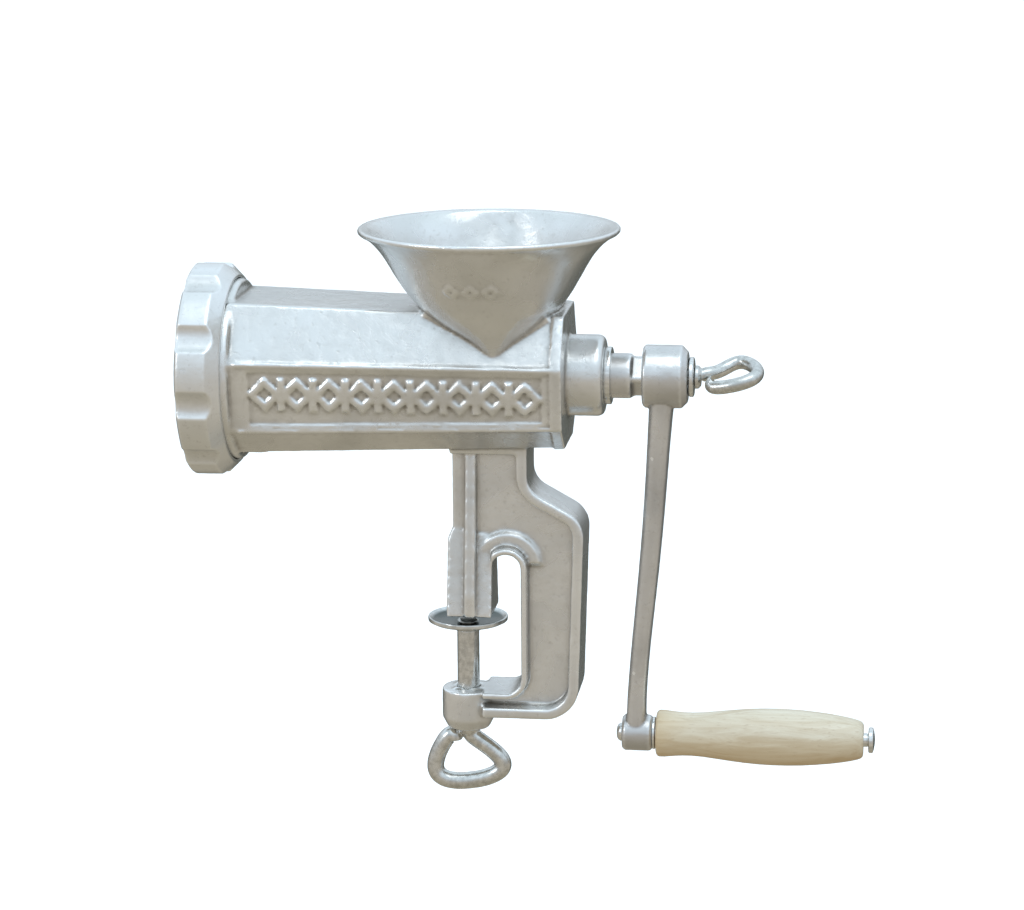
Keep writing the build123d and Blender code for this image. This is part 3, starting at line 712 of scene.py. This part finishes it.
castLooks = {  # voxel, lump and lumpSize in mm, most in triangles
    "body_casting": {
        "name": "bodyCast", "slot": "tinned_iron", "finish": "casting",
        "voxel": 0.72, "smooth": 4, "lump": 0.20, "lumpSize": 4.0, "most": 196000,
    },
    "ring_nut": {
        "name": "nutCast", "slot": "tinned_iron", "finish": "nutCast",
        "voxel": 0.55, "smooth": 2, "lump": 0.14, "lumpSize": 5.0, "most": 120000,
    },
    "crank_arm": {
        "name": "armCast", "slot": "tinned_iron", "finish": "fineCast",
        "voxel": 0.5, "smooth": 3, "lump": 0.16, "lumpSize": 3.5, "most": 90000,
    },
    "auger": {
        "name": "augerCast", "slot": "tinned_iron", "finish": "fineCast",
        "voxel": 0.8, "smooth": 2, "lump": 0.08, "lumpSize": 4.0, "most": 90000,
    },
    "crank_thumb_screw": {
        "name": "thumbForged", "slot": "plated_steel", "finish": "forged",
        "voxel": 0.32, "smooth": 3, "lump": 0.10, "lumpSize": 3.0, "most": 50000,
    },
    "clamp_screw": {
        "name": "clampForged", "slot": "plated_steel", "finish": "forged",
        "voxel": 0.42, "smooth": 3, "lump": 0.12, "lumpSize": 4.0, "most": 70000,
    },
}
for nodeName, look in castLooks.items():
    castCopy(nodeName, look, bodyExtras() if nodeName == "body_casting" else ())


# machined pieces: true edges with a small broken corner
def machinedCopy(nodeName, look):
    piece = mergedCopy(nodeName, look["name"])
    openMesh(piece)
    bpy.ops.mesh.dissolve_limited(angle_limit=math.radians(1.5))
    closeMesh()
    modify(
        piece, "BEVEL", width=look["bevel"] * mm, segments=2,
        limit_method="ANGLE", angle_limit=math.radians(40), use_clamp_overlap=True,
    )
    modify(piece, "TRIANGULATE")
    smoothShade(piece, 40)
    place(piece, nodeName, look)


machinedLooks = {
    "grinding_plate": {"name": "plateGround", "slot": "tool_steel", "finish": "ground", "bevel": 0.25},
    "cutting_knife": {"name": "knifeGround", "slot": "tool_steel", "finish": "ground", "bevel": 0.25},
    "auger_stud": {"name": "studTurned", "slot": "plated_steel", "finish": "turned", "bevel": 0.2},
    "plate_locating_pin": {"name": "pinTurned", "slot": "tool_steel", "finish": "ground", "bevel": 0.2},
}
for nodeName, look in machinedLooks.items():
    machinedCopy(nodeName, look)
print("machined pieces made")


# round pieces, built ring by ring along a line
def ringsAlong(name, axis, centre, rings, segments):
    turn = (0, math.pi / 2, 0) if axis == alongX else (0, 0, 0)
    lastAlong, lastRadius = rings[0]
    bpy.ops.object.select_all(action="DESELECT")
    bpy.ops.mesh.primitive_circle_add(
        vertices=segments, radius=lastRadius * mm,
        location=Vector(centre) + axis * lastAlong * mm, rotation=turn,
    )
    piece = nameNew(name)
    settle(piece)
    openMesh(piece)
    for along, radius in rings[1:]:
        middle = Vector(centre) + axis * along * mm
        bpy.ops.mesh.extrude_edges_move(TRANSFORM_OT_translate={"value": axis * (along - lastAlong) * mm})
        bpy.ops.transform.resize(value=(radius / lastRadius,) * 3, center_override=middle)
        lastAlong, lastRadius = along, radius
    bpy.ops.mesh.select_all(action="SELECT")
    bpy.ops.mesh.remove_doubles(threshold=0.045 * mm)
    bpy.ops.mesh.normals_make_consistent(inside=False)
    closeMesh()
    smoothShade(piece, 35)
    return piece


pole = 0.02  # the radius that closes an end
roundLooks = {  # rings are (place along the axis, radius), in mm
    "handle_grip": {
        "name": "gripTurned", "slot": "beech", "finish": "beech",
        "axis": alongX, "centre": (0, 0, handleZ), "segments": 96,
        "rings": [
            (81.7, 3.1), (81.7, 8.6), (81.9, 9.2), (82.4, 9.8), (83.2, 10.1), (85.5, 10.05), (89, 9.65),
            (93, 9.35), (97, 9.3), (102, 9.6), (108, 10.3), (114, 11.0), (120, 11.6), (126, 12.0),
            (132, 12.15), (138, 12.1), (144, 11.85), (150, 11.35), (156, 10.7), (161, 9.95), (165, 9.2),
            (168, 8.45), (169.4, 7.85), (170.1, 7.1), (170.35, 6.2), (170.35, 3.1), (81.7, 3.1),
        ],
    },
    "handle_spindle": {
        "name": "spindleRod", "slot": "plated_steel", "finish": "turned",
        "axis": alongX, "centre": (0, 0, handleZ), "segments": 40,
        "rings": [
            (64.45, pole), (64.5, 1.2), (64.7, 2.4), (65.2, 3.3), (65.9, 3.8), (66.8, 3.95), (66.95, 3.0),
            (120.0, 3.0), (171.6, 2.9), (172.3, 2.7), (172.45, 4.9), (172.7, 5.4), (173.9, 5.5),
            (174.4, 5.2), (174.8, 3.8), (175.15, 1.6), (175.2, pole),
        ],
    },
    "crank_washer": {
        "name": "crankWasherTurned", "slot": "plated_steel", "finish": "turned",
        "axis": alongX, "centre": (0, 0, augerZ), "segments": 48,
        "rings": [
            (94.66, 4.1), (94.66, 7.7), (94.8, 8.1), (95.2, 8.4), (96.3, 8.4), (96.7, 8.1), (96.84, 7.7),
            (96.84, 4.1), (94.66, 4.1),
        ],
    },
    "handle_inner_washer": {
        "name": "gripWasherTurned", "slot": "plated_steel", "finish": "turned",
        "axis": alongX, "centre": (0, 0, handleZ), "segments": 48,
        "rings": [
            (80.02, 3.02), (80.02, 6.6), (80.2, 6.95), (81.0, 6.95), (81.18, 6.6), (81.18, 3.02),
            (80.02, 3.02),
        ],
    },
    "rear_bushing": {
        "name": "bushTurned", "slot": "plated_steel", "finish": "turned",
        "axis": alongX, "centre": (0, 0, augerZ), "segments": 64,
        "rings": [
            (41.0, 9.56), (41.0, 11.7), (59.4, 11.75), (59.52, 11.9), (59.8, 12.1), (61.6, 12.15),
            (62.1, 12.0), (62.3, 11.5), (62.3, 9.9), (62.0, 9.56), (41.0, 9.56),
        ],
    },
    "thrust_washer": {
        "name": "fibreRing", "slot": "fibre", "finish": "fibre",
        "axis": alongX, "centre": (0, 0, augerZ), "segments": 64,
        "rings": [
            (38.02, 9.55), (38.02, 18.7), (38.2, 18.95), (39.45, 18.95), (39.63, 18.7), (39.63, 9.55),
            (38.02, 9.55),
        ],
    },
    "clamp_pad": {
        "name": "padDished", "slot": "plated_steel", "finish": "pressed",
        "axis": alongZ, "centre": (0, 0, 0), "segments": 80,
        "rings": [
            (-5.4, 3.8), (-5.2, 7.5), (-4.7, 11.0), (-4.0, 14.6), (-3.1, 15.7), (-2.55, 16.2), (-2.42, 16.6),
            (-2.5, 17.05), (-2.9, 17.2), (-4.1, 17.1), (-4.9, 15.6), (-5.9, 12.2), (-6.9, 9.2), (-7.7, 7.3),
            (-8.0, 6.7), (-8.0, 3.8), (-5.4, 3.8),
        ],
    },
}
for nodeName, look in roundLooks.items():
    turnedPiece = ringsAlong(look["name"], look["axis"], look["centre"], look["rings"], look["segments"])
    place(turnedPiece, nodeName, look)
print("round pieces made")
